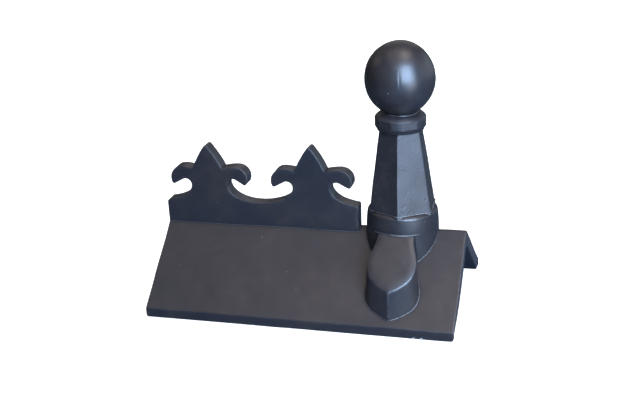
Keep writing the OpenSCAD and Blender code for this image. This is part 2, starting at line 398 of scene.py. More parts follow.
def crest_slab():
    """The outline at places across the slab, moved in by a quarter circle at both faces."""
    outline = crest_outline()
    outline[:, 0] = np.maximum(outline[:, 0], CREST_X0 + CREST_INSIDE_END)
    depth = CREST_EDGE_R * (1 - np.sin(QUARTER_TURN))
    places = CREST_T / 2 - CREST_EDGE_R * (1 - np.cos(QUARTER_TURN))
    y = np.concatenate([-places, [-CREST_T / 6, CREST_T / 6], places[::-1]])
    moved = np.concatenate([depth, [0, 0], depth[::-1]])
    rings = []
    for at, inward in zip(y, moved):
        ring = inset(outline, inward)
        rings.append(np.column_stack([ring[:, 0], np.full(len(ring), at), ring[:, 1]]))
    return skin(np.stack(rings))


crest = solid("crest", crest_slab(), spacing=6)

# %% [markdown]
# ## The finial's turned parts
#
# The drum, the collar and the ball are thrown or turned on a wheel, so a profile turned about an axis
# is the honest way to make them. Spin or Screw would do it, but can leave the shape inside out. A grid
# of angle by profile is as short, and lets the collar's band be pared flat in line with the shaft.

# %% Turning a profile
def turned(profile, angles, bottom, top, pare=None):
    """Radius and height along the profile, times cosine and sine round the axis, with poles closed.
    pare(angle, radius, height) may cut the radius back."""
    radius = np.repeat(profile[:, :1], len(angles), axis=1)
    height = np.repeat(profile[:, 1:], len(angles), axis=1)
    if pare:
        radius = pare(angles[None, :], radius, height)
    rings = np.stack([FINIAL_X + radius * np.cos(angles), radius * np.sin(angles), height], axis=-1)
    return skin(rings, [[FINIAL_X, 0, bottom]], [[FINIAL_X, 0, top]])


def full_turn(count):
    """Evenly spread angles round the axis."""
    return np.linspace(0, 2 * math.pi, count, endpoint=False)


def rise(*stops):
    """Profile points run together, with no point given twice."""
    return spaced(np.vstack([np.atleast_2d(np.asarray(stop, float)) for stop in stops]), least=0.02)


# %% Drum
DRUM_LEAN, DRUM_LEAN_H = 1.6, 22
wall_foot = RIDGE_H - SLOPE * DRUM_R - OVERLAP
lean_z = DRUM_Z - DRUM_LEAN_H
drum_profile = rise(
    [[DRUM_R, wall_foot]],
    swell((DRUM_R, wall_foot), (DRUM_R, lean_z), 0, 16),
    swell((DRUM_R, lean_z), (DRUM_R - DRUM_LEAN, DRUM_Z), -0.3, 9),
    arc((DRUM_R - SHOULDER_W, DRUM_Z), (SHOULDER_W - DRUM_LEAN, SHOULDER_H - SHOULDER_DIP), 0, 90, 12),
    swell((DRUM_R - SHOULDER_W, SHOULDER_Z - SHOULDER_DIP), (4, SHOULDER_Z - SHOULDER_DIP), 0, 9),
)
drum = solid("drum", turned(drum_profile, full_turn(176), wall_foot, SHOULDER_Z - SHOULDER_DIP))

# %% Ball, with the mark of its mould
MARK_ANGLE, MARK_HALF_W = math.radians(-79), math.radians(1.4)
MARK_UP, MARK_HALF_L, MARK_DEEP, MARK_LIP, MARK_LIP_AT = 8, 10, 0.17, 0.08, 2.6


def mould_mark(angle, radius, height):
    """Radius less a groove and plus a low lip beside it, each a depth times a bell across the mark,
    and both times a bell along it."""
    across = (angle - MARK_ANGLE - 2 * math.pi) / MARK_HALF_W
    along = (height - BALL_Z - MARK_UP) / MARK_HALF_L
    groove = MARK_DEEP * np.exp(-across**2) - MARK_LIP * np.exp(-(across + MARK_LIP_AT) ** 2)
    return radius - np.exp(-along**4) * groove


ball_profile = arc((0, BALL_Z), (BALL_R, BALL_HALF_H), -88, 88, 66)
by_mark = MARK_ANGLE + 2 * math.pi + np.radians(np.linspace(-7, 7, 21))
ball_angles = np.union1d(full_turn(144), by_mark)
ball_low, ball_high = BALL_Z - BALL_HALF_H, BALL_Z + BALL_HALF_H
ball = solid("ball", turned(ball_profile, ball_angles, ball_low, ball_high, mould_mark))

# %% Grains of grit on the ball
# each grain: degrees round the ball from the right, degrees up it, radius
GRIT = [(-98, -10, 0.8), (-126, -30, 0.55), (-66, -35, 0.5), (-33, -4, 0.35), (62, 18, 0.5), (128, -22, 0.7)]


def over_a_ball(around_count, up_count):
    """A grid of two angles over a small ball: round it, and up it from just over one pole."""
    return np.meshgrid(full_turn(around_count), np.radians(np.linspace(-80, 80, up_count)))


def grit(around_ball, up_ball, radius):
    """A grain of pale grit as a small ball, its middle on the big ball's skin."""
    right, deep = unit(around_ball)
    level, lift = unit(up_ball)
    middle = np.array([BALL_R * level * right, BALL_R * level * deep, BALL_HALF_H * lift])
    around, over = over_a_ball(10, 7)
    out = np.stack([np.cos(over) * np.cos(around), np.cos(over) * np.sin(around), np.sin(over)], axis=-1)
    return skin(middle + (FINIAL_X, 0, BALL_Z) + radius * out)


grains = [solid(f"grain_{i}", grit(*place), slip=2) for i, place in enumerate(GRIT)]

# %% Collar, pared flat in line with the shaft
FLAT_REACH, LEDGE_UNDER, LEDGE_OVER = 34.8, 0.5, 0.3
COLLAR_FOOT_R, BAND_LOW_R, BAND_LOW_H, BAND_TOP_R, BAND_MORE = 1, 1.5, 0.8, 1.6, 1.5
band_z = SHAFT_Z1 + COLLAR_SLOPE_H
band_low_z = band_z + BAND_LOW_H
arris_z = band_z + COLLAR_BAND_H + BAND_MORE


def pare_flats(angle, radius, height):
    """The smaller of the turned radius and a flat's distance divided by the cosine from its middle,
    on the band alone, so that the knife leaves a small ledge over the flat and one under it."""
    sixth = math.pi / 3
    first_middle = math.radians(SHAFT_TURN - 90) + sixth / 2
    from_middle = (angle - first_middle + sixth / 2) % sixth - sixth / 2
    on_band = (height > band_z + LEDGE_UNDER) & (height < arris_z + LEDGE_OVER)
    return np.where(on_band, np.minimum(radius, FLAT_REACH / np.cos(from_middle)), radius)


foot_z = SHAFT_Z1 + COLLAR_FOOT_R
band_top = np.array([COLLAR_R - BAND_TOP_R, arris_z])
top_edge = (COLLAR_R - COLLAR_ROUND, COLLAR_TOP)
collar_profile = rise(
    swell((10, SHAFT_Z1), (COLLAR_LOW_R, SHAFT_Z1), 0, 4),
    arc((COLLAR_LOW_R, foot_z), COLLAR_FOOT_R, -90, -30, 3),
    swell((COLLAR_LOW_R + COLLAR_FOOT_R, foot_z), (COLLAR_R, band_z), 0.3, 5),
    arc((COLLAR_R - BAND_LOW_R, band_low_z), BAND_LOW_R, -20, 0, 2),
    swell((COLLAR_R, band_low_z), (COLLAR_R, arris_z), 0, 8),
    arc(band_top, BAND_TOP_R, 0, 40, 4),
    swell(band_top + BAND_TOP_R * unit(40), top_edge, -1.0, 8),
    swell(top_edge, (8, COLLAR_TOP), 0, 4),
)
collar_shell = turned(collar_profile, full_turn(192), SHAFT_Z1, COLLAR_TOP, pare_flats)
collar = solid("collar", collar_shell, tooled=0.9)

# %% [markdown]
# ## The shaft and the feet
#
# The shaft is cut from a block: six faces that narrow upwards, with its corners knocked off by a wet
# finger. A cone with six sides would leave knife edges, so the ring itself has round corners. A foot is
# a pad of clay that holds the drum on the wing. Its sides lean in, its front comes to a point, and its
# top is rolled over at the edge, which a plain extrusion can't give.

# %% The six-sided shaft
SHAFT_CORNER_R, SHAFT_TUCK, FLARE, FLARE_H = 1.4, 2, 0.4, 4


def hexagon(radius, steps):
    """Six corner arcs of radius r joined by straight sides. An arc's middle is radius - r / cos 30 out."""
    out = radius - SHAFT_CORNER_R / math.cos(math.radians(30))
    sides = []
    for k in range(6):
        here, there = (SHAFT_TURN - 90 + 60 * n for n in (k, k + 1))
        corner = arc(out * unit(here), SHAFT_CORNER_R, here - 30, here + 30, 4)
        following = out * unit(there) + SHAFT_CORNER_R * unit(there - 30)
        sides += [corner, swell(corner[-1], following, 0, steps)]
    return np.vstack(sides)


def shaft_skin():
    """Rings that narrow evenly with height, and flare a hair just over the shoulder."""
    heights = np.linspace(SHAFT_Z0 - SHAFT_TUCK, SHAFT_Z1 + SHAFT_TUCK, 76)
    t = (heights - SHAFT_Z0) / (SHAFT_Z1 - SHAFT_Z0)
    radius = SHAFT_R_LOW + (SHAFT_R_HIGH - SHAFT_R_LOW) * t
    flare = FLARE * np.clip((SHOULDER_Z - heights) / FLARE_H, 0, 1) ** 2
    rings = []
    for z, r in zip(heights, radius + flare):
        ring = hexagon(r, steps=22)
        rings.append(np.column_stack([FINIAL_X + ring[:, 0], ring[:, 1], np.full(len(ring), z)]))
    return skin(np.stack(rings))


shaft = solid("shaft", shaft_skin(), tooled=1)

# %% A foot's outline
FOOT_REACH, FOOT_WIDE_Y, FOOT_HALF_W, NECK_HALF_W = 117.4, 84.5, 38.4, 29.0
FLANK_R, FLANK_ANGLE, FOOT_BULGE, NECK_TUCK = 24.0, 53, 1.4, 2
FOOT_H_HIGH, FOOT_H_LOW, FOOT_DRAFT, FOOT_CROWN = 46.0, 40.5, 4.0, 0.6


def foot_half():
    """Right half as (x, distance from the ridge): a hidden end inside the drum, a cosine sweep from
    neck to flank, an arc, a front."""
    neck_y = DRUM_R - NECK_TUCK
    flank = np.array([FOOT_HALF_W - FLANK_R, FOOT_WIDE_Y])
    t = np.linspace(0, 1, 23)[:-1, None]
    sweep = np.hstack([
        NECK_HALF_W + (FOOT_HALF_W - NECK_HALF_W) * (1 - np.cos(math.pi * t)) / 2,
        neck_y + (FOOT_WIDE_Y - neck_y) * t,
    ])
    round_flank = arc(flank, FLANK_R, 0, FLANK_ANGLE, 18)
    front = swell(round_flank[-1], (0, FOOT_REACH), -FOOT_BULGE, 16)
    return np.vstack([[[NECK_HALF_W, DRUM_R / 2]], sweep, round_flank, front])


def foot_outline():
    """Both halves with the point between them, counter-clockwise seen from above the front foot."""
    half = foot_half()
    return np.vstack([half, [[0, FOOT_REACH]], half[::-1] * (-1, 1)])


# %% A foot's skin
# the rolled edge of the top: (how far in, how far up) from the top of the wall
TOP_ROLL = np.array([
    [0.0, -1.3], [0.25, -0.7], [0.6, -0.3], [1.2, 0.05], [2.4, 0.5], [4.4, 1.15], [6.8, 1.7], [9.0, 2.0],
])
FOOT_CAP = RIDGE_H - SLOPE * DRUM_R + FOOT_H_HIGH + TOP_ROLL[-1, 1]


def foot_skin():
    """Rings up the leaning wall, then over the rolled edge, then drawn in to the middle line. Nothing
    rises past the cap, so that the top meets the drum level, under the lip."""
    outline = foot_outline()
    rings = []

    def ring_at(plan, lift):
        """One ring over that plan: the wing's height plus lift(the wall's height there)."""
        x, y = plan.T
        fall = (y - DRUM_R) / (FOOT_REACH - DRUM_R)
        top = FOOT_H_HIGH + (FOOT_H_LOW - FOOT_H_HIGH) * fall
        rings.append(np.column_stack([x, -y, np.minimum(RIDGE_H - SLOPE * y + lift(top), FOOT_CAP)]))

    def drafted(t):
        """The outline narrowed and shortened in proportion, by the draft times t."""
        return np.column_stack([
            outline[:, 0] * (1 - FOOT_DRAFT * t / FOOT_HALF_W),
            DRUM_R + (outline[:, 1] - DRUM_R) * (1 - FOOT_DRAFT * t / FOOT_REACH),
        ])

    def drawn_in(distance):
        """The top outline moved in; a point that passes the middle line stops where the tip stops."""
        plan = inset(drafted(1), distance)
        plan[plan[:, 0] * outline[:, 0] < 0] = plan[len(plan) // 2]
        return plan

    wall_top = TOP_ROLL[0, 1]
    for t in np.linspace(0, 1, 20):
        ring_at(drafted(t), lambda top, t=t: -OVERLAP + (top + wall_top + OVERLAP) * t)
    for inward, lift in TOP_ROLL[1:]:
        ring_at(drawn_in(inward), lambda top, lift=lift: top + lift)
    inner = drawn_in(TOP_ROLL[-1, 0])
    breadth = np.abs(inner[:, 0]) / np.abs(inner[:, 0]).max()
    for share in (0.8, 0.6, 0.4, 0.2, 0.04):
        crown = TOP_ROLL[-1, 1] + FOOT_CROWN * (1 - share**2) * breadth
        ring_at(inner * (share, 1), lambda top, crown=crown: top + crown)
    rings = np.stack(rings)
    points, faces = skin(rings, None, False)
    size = rings.shape[1]
    last = (len(rings) - 1) * size + np.arange(size)
    ladder = [[last[i], last[i + 1], last[size - 2 - i], last[size - 1 - i]] for i in range(size // 2 - 1)]
    middle = size // 2
    faces += ladder + [[last[middle - 1], last[middle], last[middle + 1]]]
    return points, faces


def placed(points, behind):
    """A part over the front foot, moved to the finial, or turned half round it to the back."""
    turn = -1 if behind else 1
    return np.asarray(points) * (turn, turn, 1) + (FINIAL_X, 0, 0)


def both_sides(name, shell, **marks):
    """The part in front, and its twin behind."""
    points, faces = shell
    front = solid(f"{name}_front", (placed(points, behind=False), faces), **marks)
    return [front, solid(f"{name}_back", (placed(points, behind=True), faces), **marks)]


feet = both_sides("foot", foot_skin())

# %% [markdown]
# ## Lips and luted seams
#
# Where two parts meet, the potter wipes a thin roll of slip along the seam, and it fires as a fine
# bead that catches the light. Over each foot the drum keeps a thicker lip. Both are a small ellipse
# carried along a line. A bevel on the joined mesh would be the other way, but it fails at such cuts.
# Both are also marked for a painted highlight, which the finish lays on them as a paler colour.

# %% A bead along a line
def bead(path, side, rise_dir, width, height, closed=False):
    """Path point plus side times width times cosine plus rise times height times sine of an angle."""
    angles = np.linspace(0, 2 * math.pi, 10, endpoint=False)[None, :, None]
    width, height = (np.broadcast_to(v, len(path))[:, None, None] for v in (width, height))
    sideways = side[:, None, :] * width * np.cos(angles)
    upwards = rise_dir[:, None, :] * height * np.sin(angles)
    rings = path[:, None, :] + sideways + upwards
    if closed:
        return skin(np.vstack([rings, rings[:1]]), False, False)
    return skin(rings)


def scaled(vectors):
    """Vectors cut to length one."""
    return vectors / np.linalg.norm(vectors, axis=1)[:, None]


def upright(count):
    """The same upward vector, once for each point of a path."""
    return np.tile([0.0, 0.0, 1.0], (count, 1))


# %% Lips over the feet
LIP_HALF_ANGLE, LIP_OUT, LIP_H, LIP_SUNK, LIP_LIFT = 40, 2.3, 1.7, 0.3, 0.2


def lip():
    """A stretch of the drum's rim in front. Its thickness goes by the root of the cosine of the angle
    from its middle, stretched so that it is gone at the two ends."""
    angle = np.radians(np.linspace(-LIP_HALF_ANGLE, LIP_HALF_ANGLE, 49))
    fade = np.sqrt(np.clip(np.cos(angle * 90 / (LIP_HALF_ANGLE + 1)), 0.0004, 1))
    out = np.column_stack([np.sin(angle), -np.cos(angle), 0 * angle])
    path = out * (DRUM_R - LIP_SUNK) + (0, 0, FOOT_CAP + LIP_LIFT)
    return bead(path, out, upright(len(path)), LIP_OUT * fade, LIP_H * fade)


# the lips carry a painted highlight, marked here for the finish
lips = both_sides("lip", lip(), slip=0.5)

# %% Seams round the feet, the drum, the crest and the shaft
SEAM_R, CREST_SEAM_R, SHAFT_SEAM_R = 1.05, 0.95, 0.9
BALL_SEAM_W, BALL_SEAM_H, NECK_R = 1.6, 1.2, 24.0
HIDDEN_START, RIDGE_BAND = 6, 3


def on_wing(plan, outward):
    """Path on the wings, the direction outward along them and the wings' own normal."""
    tilt = -SLOPE * np.sign(plan[:, 1])
    path = np.column_stack([plan, roof_z(plan[:, 1])])
    side = scaled(np.column_stack([outward, tilt * outward[:, 1]]))
    up = scaled(np.column_stack([0 * tilt, -tilt, np.ones(len(tilt))]))
    return path, side, up


def foot_seam():
    """Along the foot's base, from one side of the drum to the other."""
    outline = foot_outline() * (1, -1)
    step = np.roll(outline, -1, axis=0) - np.roll(outline, 1, axis=0)
    outward = scaled(np.column_stack([-step[:, 1], step[:, 0]]))
    use = outline[:, 1] < -(DRUM_R - HIDDEN_START)
    path, side, up = on_wing(outline[use], outward[use])
    return bead(path, side, up, SEAM_R, SEAM_R)


def drum_seam():
    """Round the drum's foot, up over the ridge, where the bead stands upright, and down again."""
    angle = full_turn(160)
    out = np.column_stack([np.cos(angle), np.sin(angle)])
    path, side, up = on_wing(out * DRUM_R, out)
    up[np.abs(path[:, 1]) < RIDGE_BAND] = (0, 0, 1)
    return bead(path, side, up, SEAM_R, SEAM_R, closed=True)


def crest_seam():
    """Along both sides of the crest and round its inner end."""
    x_end, y_side = CREST_X0 + CREST_LEN, CREST_T / 2
    run = np.linspace(CREST_X0 + 2, x_end - 1, 60)
    front_run = np.column_stack([run, np.full(60, -y_side)])
    turn = arc((x_end - 1, -y_side + 1), 1, -90, 0, 4)
    over = np.column_stack([np.full(9, x_end), np.linspace(-y_side + 1, y_side - 1, 9)])
    plan = np.vstack([front_run, turn[1:], over[1:-1], turn[::-1] * (1, -1), front_run[-2::-1] * (1, -1)])
    step = np.gradient(plan, axis=0)
    outward = scaled(np.column_stack([step[:, 1], -step[:, 0]]))
    path, side, up = on_wing(plan, outward)
    return bead(path, side, up, CREST_SEAM_R, CREST_SEAM_R)


def shaft_seam():
    """Level round the shaft's foot, just over the drum's shoulder."""
    ring = hexagon(SHAFT_R_LOW + 0.2, steps=14)
    path = np.column_stack([ring + (FINIAL_X, 0), np.full(len(ring), SHOULDER_Z - SHOULDER_DIP + 0.5)])
    side = np.column_stack([ring / np.hypot(*ring.T)[:, None], np.zeros(len(ring))])
    return bead(path, side, upright(len(ring)), SHAFT_SEAM_R, SHAFT_SEAM_R, closed=True)


def ball_seam():
    """Round the neck where the ball sits on the collar."""
    ring = arc((FINIAL_X, 0), NECK_R, 0, 360, 72)[:-1]
    path = np.column_stack([ring, np.full(len(ring), COLLAR_TOP - 0.3)])
    side = np.column_stack([(ring - (FINIAL_X, 0)) / NECK_R, np.zeros(len(ring))])
    return bead(path, side, upright(len(ring)), BALL_SEAM_W, BALL_SEAM_H, closed=True)


def painted_sheen_right(part, right, left):
    """Marks a seam with more painted highlight on its right-hand side, toward the window, than on its shaded
    left.
    """
    middles = np.zeros(3 * len(part.data.polygons))
    part.data.polygons.foreach_get("center", middles)
    amount = np.where(middles[::3] > FINIAL_X * MM, right, left)
    part.data.attributes["slip"].data.foreach_set("value", amount)
    return part


# the seams carry a painted highlight, stronger on the lit right than on the shaded left
seams = [painted_sheen_right(seam, right=0.8, left=0.05) for seam in both_sides("seam", foot_seam())]
drum_points, drum_faces = drum_seam()
seams.append(solid("seam_drum", (drum_points + (FINIAL_X, 0, 0), drum_faces), slip=0.4))
seams.append(solid("seam_crest", crest_seam(), slip=0.2))
seams.append(painted_sheen_right(solid("seam_shaft", shaft_seam()), right=1.0, left=0.25))
seams.append(solid("seam_ball", ball_seam(), slip=0.6))

# %% [markdown]
# ## One skin
#
# The parts overlap, as luted clay does. They could be left as separate shells, but then the hidden
# pieces inside would count as surface. The Manifold solver joins closed meshes fast and exactly, so
# the result is one closed skin, and the open angle is cut from it at the end.

# %% Joining parts and cutting others away
def joined(name, first, others, cuts):
    """The union of first and the others, less the cuts, as a new object; the parts are removed."""
    for part, operation in [(other, "UNION") for other in others] + [(cut, "DIFFERENCE") for cut in cuts]:
        step = first.modifiers.new(part.name, "BOOLEAN")
        step.solver, step.operation, step.object = "MANIFOLD", operation, part
    graph = bpy.context.evaluated_depsgraph_get()
    data = bpy.data.meshes.new_from_object(first.evaluated_get(graph))
    for part in [first, *others, *cuts]:
        bpy.data.objects.remove(part)
    data.name = name
    made = bpy.data.objects.new(name, data)
    bpy.context.scene.collection.objects.link(made)
    return made


# %% Chips in the front edge, and the join
# each chip: place along the edge, height over the ground, radius
CHIPS = [(169.5, 1.4, 1.7), (181.0, 2.2, 1.5), (186.0, 0.5, 1.2), (-62.0, 0.4, 1.6)]
CHIP_LONG, CHIP_DEEP, CHIP_ROUGH = 1.5, 0.5, 0.25


def chip(x, z, radius):
    """A small rough ball set in the front bottom edge: its radius varies with both of its angles."""
    around, over = over_a_ball(14, 9)
    reach = radius * (1 + CHIP_ROUGH * np.sin(3 * around + 2 * over + x))
    rings = np.stack([
        x + CHIP_LONG * reach * np.cos(over) * np.cos(around),
        -TILE_W / 2 + CHIP_DEEP * reach * np.cos(over) * np.sin(around),
        z + reach * np.sin(over),
    ], axis=-1)
    return skin(rings)


chips = [solid(f"chip_{i}", chip(*place), slip=2) for i, place in enumerate(CHIPS)]
luted_on = [crest, drum, shaft, collar, ball, *feet, *lips, *seams, *grains]
clay = joined("crested_ridge_tile", tile, luted_on, [*chips, wedge])
clay.data.calc_loop_triangles()
print(f"{clay.name}: {len(clay.data.vertices)} points, {len(clay.data.loop_triangles)} triangles")
print("marks kept by the join:", [a.name for a in clay.data.attributes if a.domain == "FACE"])

# %% [markdown]
# ## The hand in the clay
#
# Nothing made by hand in clay is dead straight. Moving every point by a slow wave of a few tenths of
# a millimetre bends the long edges and ripples the faces a little. A Displace modifier could do it,
# but a sum of sines at each point is the same on every machine and keeps shared edges shared.

# %% Slow unevenness
WAVES, STILL_BELOW = 9, 12


def slow_wave(points, wavelength, rng):
    """Mean of sines of a point's distance along random directions, with random phases."""
    directions = scaled(rng.normal(size=(WAVES, 3)))
    lengths = wavelength * rng.uniform(0.6, 1.6, WAVES)
    phases = rng.uniform(0, 2 * math.pi, WAVES)
    return np.sin(points @ (directions * 2 * math.pi / lengths[:, None]).T + phases).mean(axis=1)


def coordinates(data):
    """All of a mesh's points as an array, in mm."""
    flat = np.empty(len(data.vertices) * 3, np.float32)
    data.vertices.foreach_get("co", flat)
    return flat.reshape(-1, 3).astype(float) / MM


def wander(points, wavelength, reach, rng):
    """Three slow waves side by side, as the x, y and z of a shift, times reach."""
    return np.stack([slow_wave(points, wavelength, rng) for _ in range(3)], axis=1) * reach


DENT, DENT_R, DENT_DEEP = (204.7, -94.8, 38.0), 4.5, 0.7
rng = np.random.default_rng(7)
points = coordinates(clay.data)
shift = wander(points, wavelength=75, reach=0.8, rng=rng)
shift += wander(points, wavelength=26, reach=0.2, rng=rng)
shift[:, 2] *= np.clip(points[:, 2] / STILL_BELOW, 0, 1)
inward = np.array([0, math.sin(math.radians(FALL)), -math.cos(math.radians(FALL))])
shift += np.exp(-(((points - DENT) / DENT_R) ** 2).sum(axis=1))[:, None] * inward * DENT_DEEP
moved = np.clip(points + shift, low, high)
clay.data.vertices.foreach_set("co", (moved * MM).astype(np.float32).ravel())
clay.data.update()
print(f"points moved by {np.linalg.norm(shift, axis=1).mean():.2f} mm on average")

# %% Sharp folds, and masks of the arrises and the creases
def fold_angles(data):
    """For each edge with two faces: the angle between their normals, signed plus where it is convex."""
    mesh = bmesh.new()
    mesh.from_mesh(data)
    mesh.normal_update()
    ends = np.array([[e.verts[0].index, e.verts[1].index] for e in mesh.edges])
    turn = np.array([e.calc_face_angle_signed(0.0) for e in mesh.edges])
    mesh.free()
    return ends, np.degrees(turn)


SHARP_DEGREES = 32
ARRIS_FROM, ARRIS_SPAN, ARRIS_REACH = 12, 22, 0.6
CREVICE_FROM, CREVICE_SPAN, CREVICE_REACH = 20, 40, 1.5
ends, turn = fold_angles(clay.data)
clay.data.polygons.foreach_set("use_smooth", np.ones(len(clay.data.polygons), bool))
sharp = clay.data.attributes.new("sharp_edge", "BOOLEAN", "EDGE")
sharp.data.foreach_set("value", np.abs(turn) > SHARP_DEGREES)


def spread_mask(values, ends, points, reach):
    """A mask passed along edges: a neighbour's value fades with the edge's length over reach, in mm."""
    length = np.linalg.norm(points[ends[:, 0]] - points[ends[:, 1]], axis=1)
    for _ in range(4):
        passed = np.exp(-length / reach)
        grown = values.copy()
        np.maximum.at(grown, ends[:, 0], values[ends[:, 1]] * passed)
        np.maximum.at(grown, ends[:, 1], values[ends[:, 0]] * passed)
        values = grown
    return values


def fold_mask(strength, reach):
    """A mask on the points: the strongest fold at each, spread a little way over the faces."""
    mask = np.zeros(len(points))
    np.maximum.at(mask, ends[:, 0], strength)
    np.maximum.at(mask, ends[:, 1], strength)
    return spread_mask(mask, ends, moved, reach)


# mask of the arrises, which the finish paints paler as wear and as a painted highlight
arris = clay.data.attributes.new("arris", "FLOAT", "POINT")
arris.data.foreach_set("value", fold_mask(np.clip((turn - ARRIS_FROM) / ARRIS_SPAN, 0, 1), ARRIS_REACH))
# mask of the creases, which the finish darkens as painted shade
crevice = clay.data.attributes.new("crevice", "FLOAT", "POINT")
depth = np.clip((-turn - CREVICE_FROM) / CREVICE_SPAN, 0, 1)
crevice.data.foreach_set("value", fold_mask(depth, CREVICE_REACH))
arrises, crevices = (turn > ARRIS_FROM).mean(), (turn < -CREVICE_FROM).mean()
print(f"{arrises:.1%} of the edges are arrises, {crevices:.1%} are in crevices")

# %% [markdown]
# ## Blue clay
#
# Staffordshire clay is fired hot with little air, which turns it slate blue right through, with brown
# flashes and a satin skin. A flat dark colour looks like plastic. So the colour wanders between three
# close tones at three scales, the arrises are painted paler in specks, as wear and as a painted
# highlight, the creases are darkened as painted shade, and roughness and bump follow the tooling. The
# seams and lips carry a painted highlight, paler on the right, toward the window; bare grit and chips
# are marked as bare clay. These marks were set on the faces of their parts, and the finish reads them.
# Painted textures could hold all this too, but worked-out ones need no unwrapping.

# %% Shader maths as Python expressions
class Wire:
    """A socket that +, - and * act on; each adds one Math node to its material."""

    def __init__(self, bench, socket):
        self.bench, self.socket = bench, socket

    def maths(self, operation, *values):
        """That operation on the values, as one Math node."""
        return self.bench.node("ShaderNodeMath", {"operation": operation}, values)

    def __add__(self, other):
        return self.maths("ADD", self, other)

    __radd__ = __add__

    def __sub__(self, other):
        return self.maths("SUBTRACT", self, other)

    def __rsub__(self, other):
        return self.maths("SUBTRACT", other, self)

    def __mul__(self, other):
        return self.maths("MULTIPLY", self, other)


class Bench:
    """One material's node tree, the method that puts a node in it, and three nodes made often."""

    def __init__(self, name):
        self.material = bpy.data.materials.new(name)
        self.material.use_nodes = True
        self.tree = self.material.node_tree
        self.tree.nodes.clear()

    def node(self, kind, settings=None, values=(), out=0):
        """A node of that type: its settings first, then its sockets from values or other wires."""
        made = self.tree.nodes.new(kind)
        for key, value in (settings or {}).items():
            setattr(made, key, value)
        pairs = values.items() if isinstance(values, dict) else enumerate(values)
        for key, value in pairs:
            if isinstance(value, Wire):
                self.tree.links.new(value.socket, made.inputs[key])
            else:
                made.inputs[key].default_value = value
        return Wire(self, made.outputs[out]) if made.outputs else None

    def ramp(self, value, start, stop):
        """0 below start, 1 above stop and a smooth rise between."""
        smooth = {"interpolation_type": "SMOOTHSTEP"}
        return self.node("ShaderNodeMapRange", smooth, [value, start, stop, 0.0, 1.0])

    def mix(self, factor, a, b):
        """One colour laid over another."""
        return self.node("ShaderNodeMix", {"data_type": "RGBA"}, {0: factor, 6: a, 7: b}, out=2)

    def split(self, vector):
        """A vector's x, y and z."""
        return [self.node("ShaderNodeSeparateXYZ", None, [vector], out=n) for n in range(3)]


# %% Tool strokes on the shaft and the collar
SHAFT_MEAN_R, STROKE_SCALE, STROKE_STRETCH = 0.04, 520.0, 0.24


def tool_strokes(bench, place):
    """Noise drawn out along a slant on the surface round the finial. The slant turns from patch to
    patch: the place is (radius times angle round the axis, height), turned and stretched."""
    x, y, up = bench.split(place)
    around = bench.node("ShaderNodeMath", {"operation": "ARCTAN2"}, [y, x - FINIAL_X * MM]) * SHAFT_MEAN_R

    def slanted(degrees, seed):
        """Noise about nothing, its grain turned by that angle."""
        cosine, sine = unit(degrees)
        along, across = around * cosine + up * sine, up * cosine - around * sine
        at = bench.node("ShaderNodeCombineXYZ", None, [along * STROKE_STRETCH, across, seed])
        streaks = {"Vector": at, "Scale": STROKE_SCALE, "Detail": 2.0}
        return bench.node("ShaderNodeTexNoise", None, streaks) - 0.5

    def patch(scale):
        """Islands, 1 inside and 0 outside, where the tool went that way."""
        there = bench.node("ShaderNodeTexNoise", None, {"Vector": place, "Scale": scale, "Detail": 1.0})
        return bench.ramp(there, 0.46, 0.60)

    return slanted(42, 0.0) * patch(44.0) + slanted(-24, 3.0) * patch(61.0)


# %% The finish of the clay
# clay tones; tool scraping, the edges' wear with a painted highlight, the seams' painted highlight; bare
# clay, specks, and the creases' painted shade
SLATE, DUSK, BROWN = (0.015, 0.015, 0.019, 1), (0.020, 0.018, 0.021, 1), (0.030, 0.024, 0.023, 1)
SCRAPED, EDGE_SHEEN_AND_WEAR, SEAM_SHEEN = (0.110, 0.110, 0.118, 1), (0.150, 0.145, 0.150, 1), (0.300, 0.280, 0.280, 1)
BARE, SPECKLED, CREASE_SHADE = (0.66, 0.68, 0.64, 1), (0.160, 0.158, 0.165, 1), (0.008, 0.008, 0.011, 1)
GLAZE_IOR, BUMP_STRENGTH, BUMP_HEIGHT = 1.75, 0.6, 0.0011


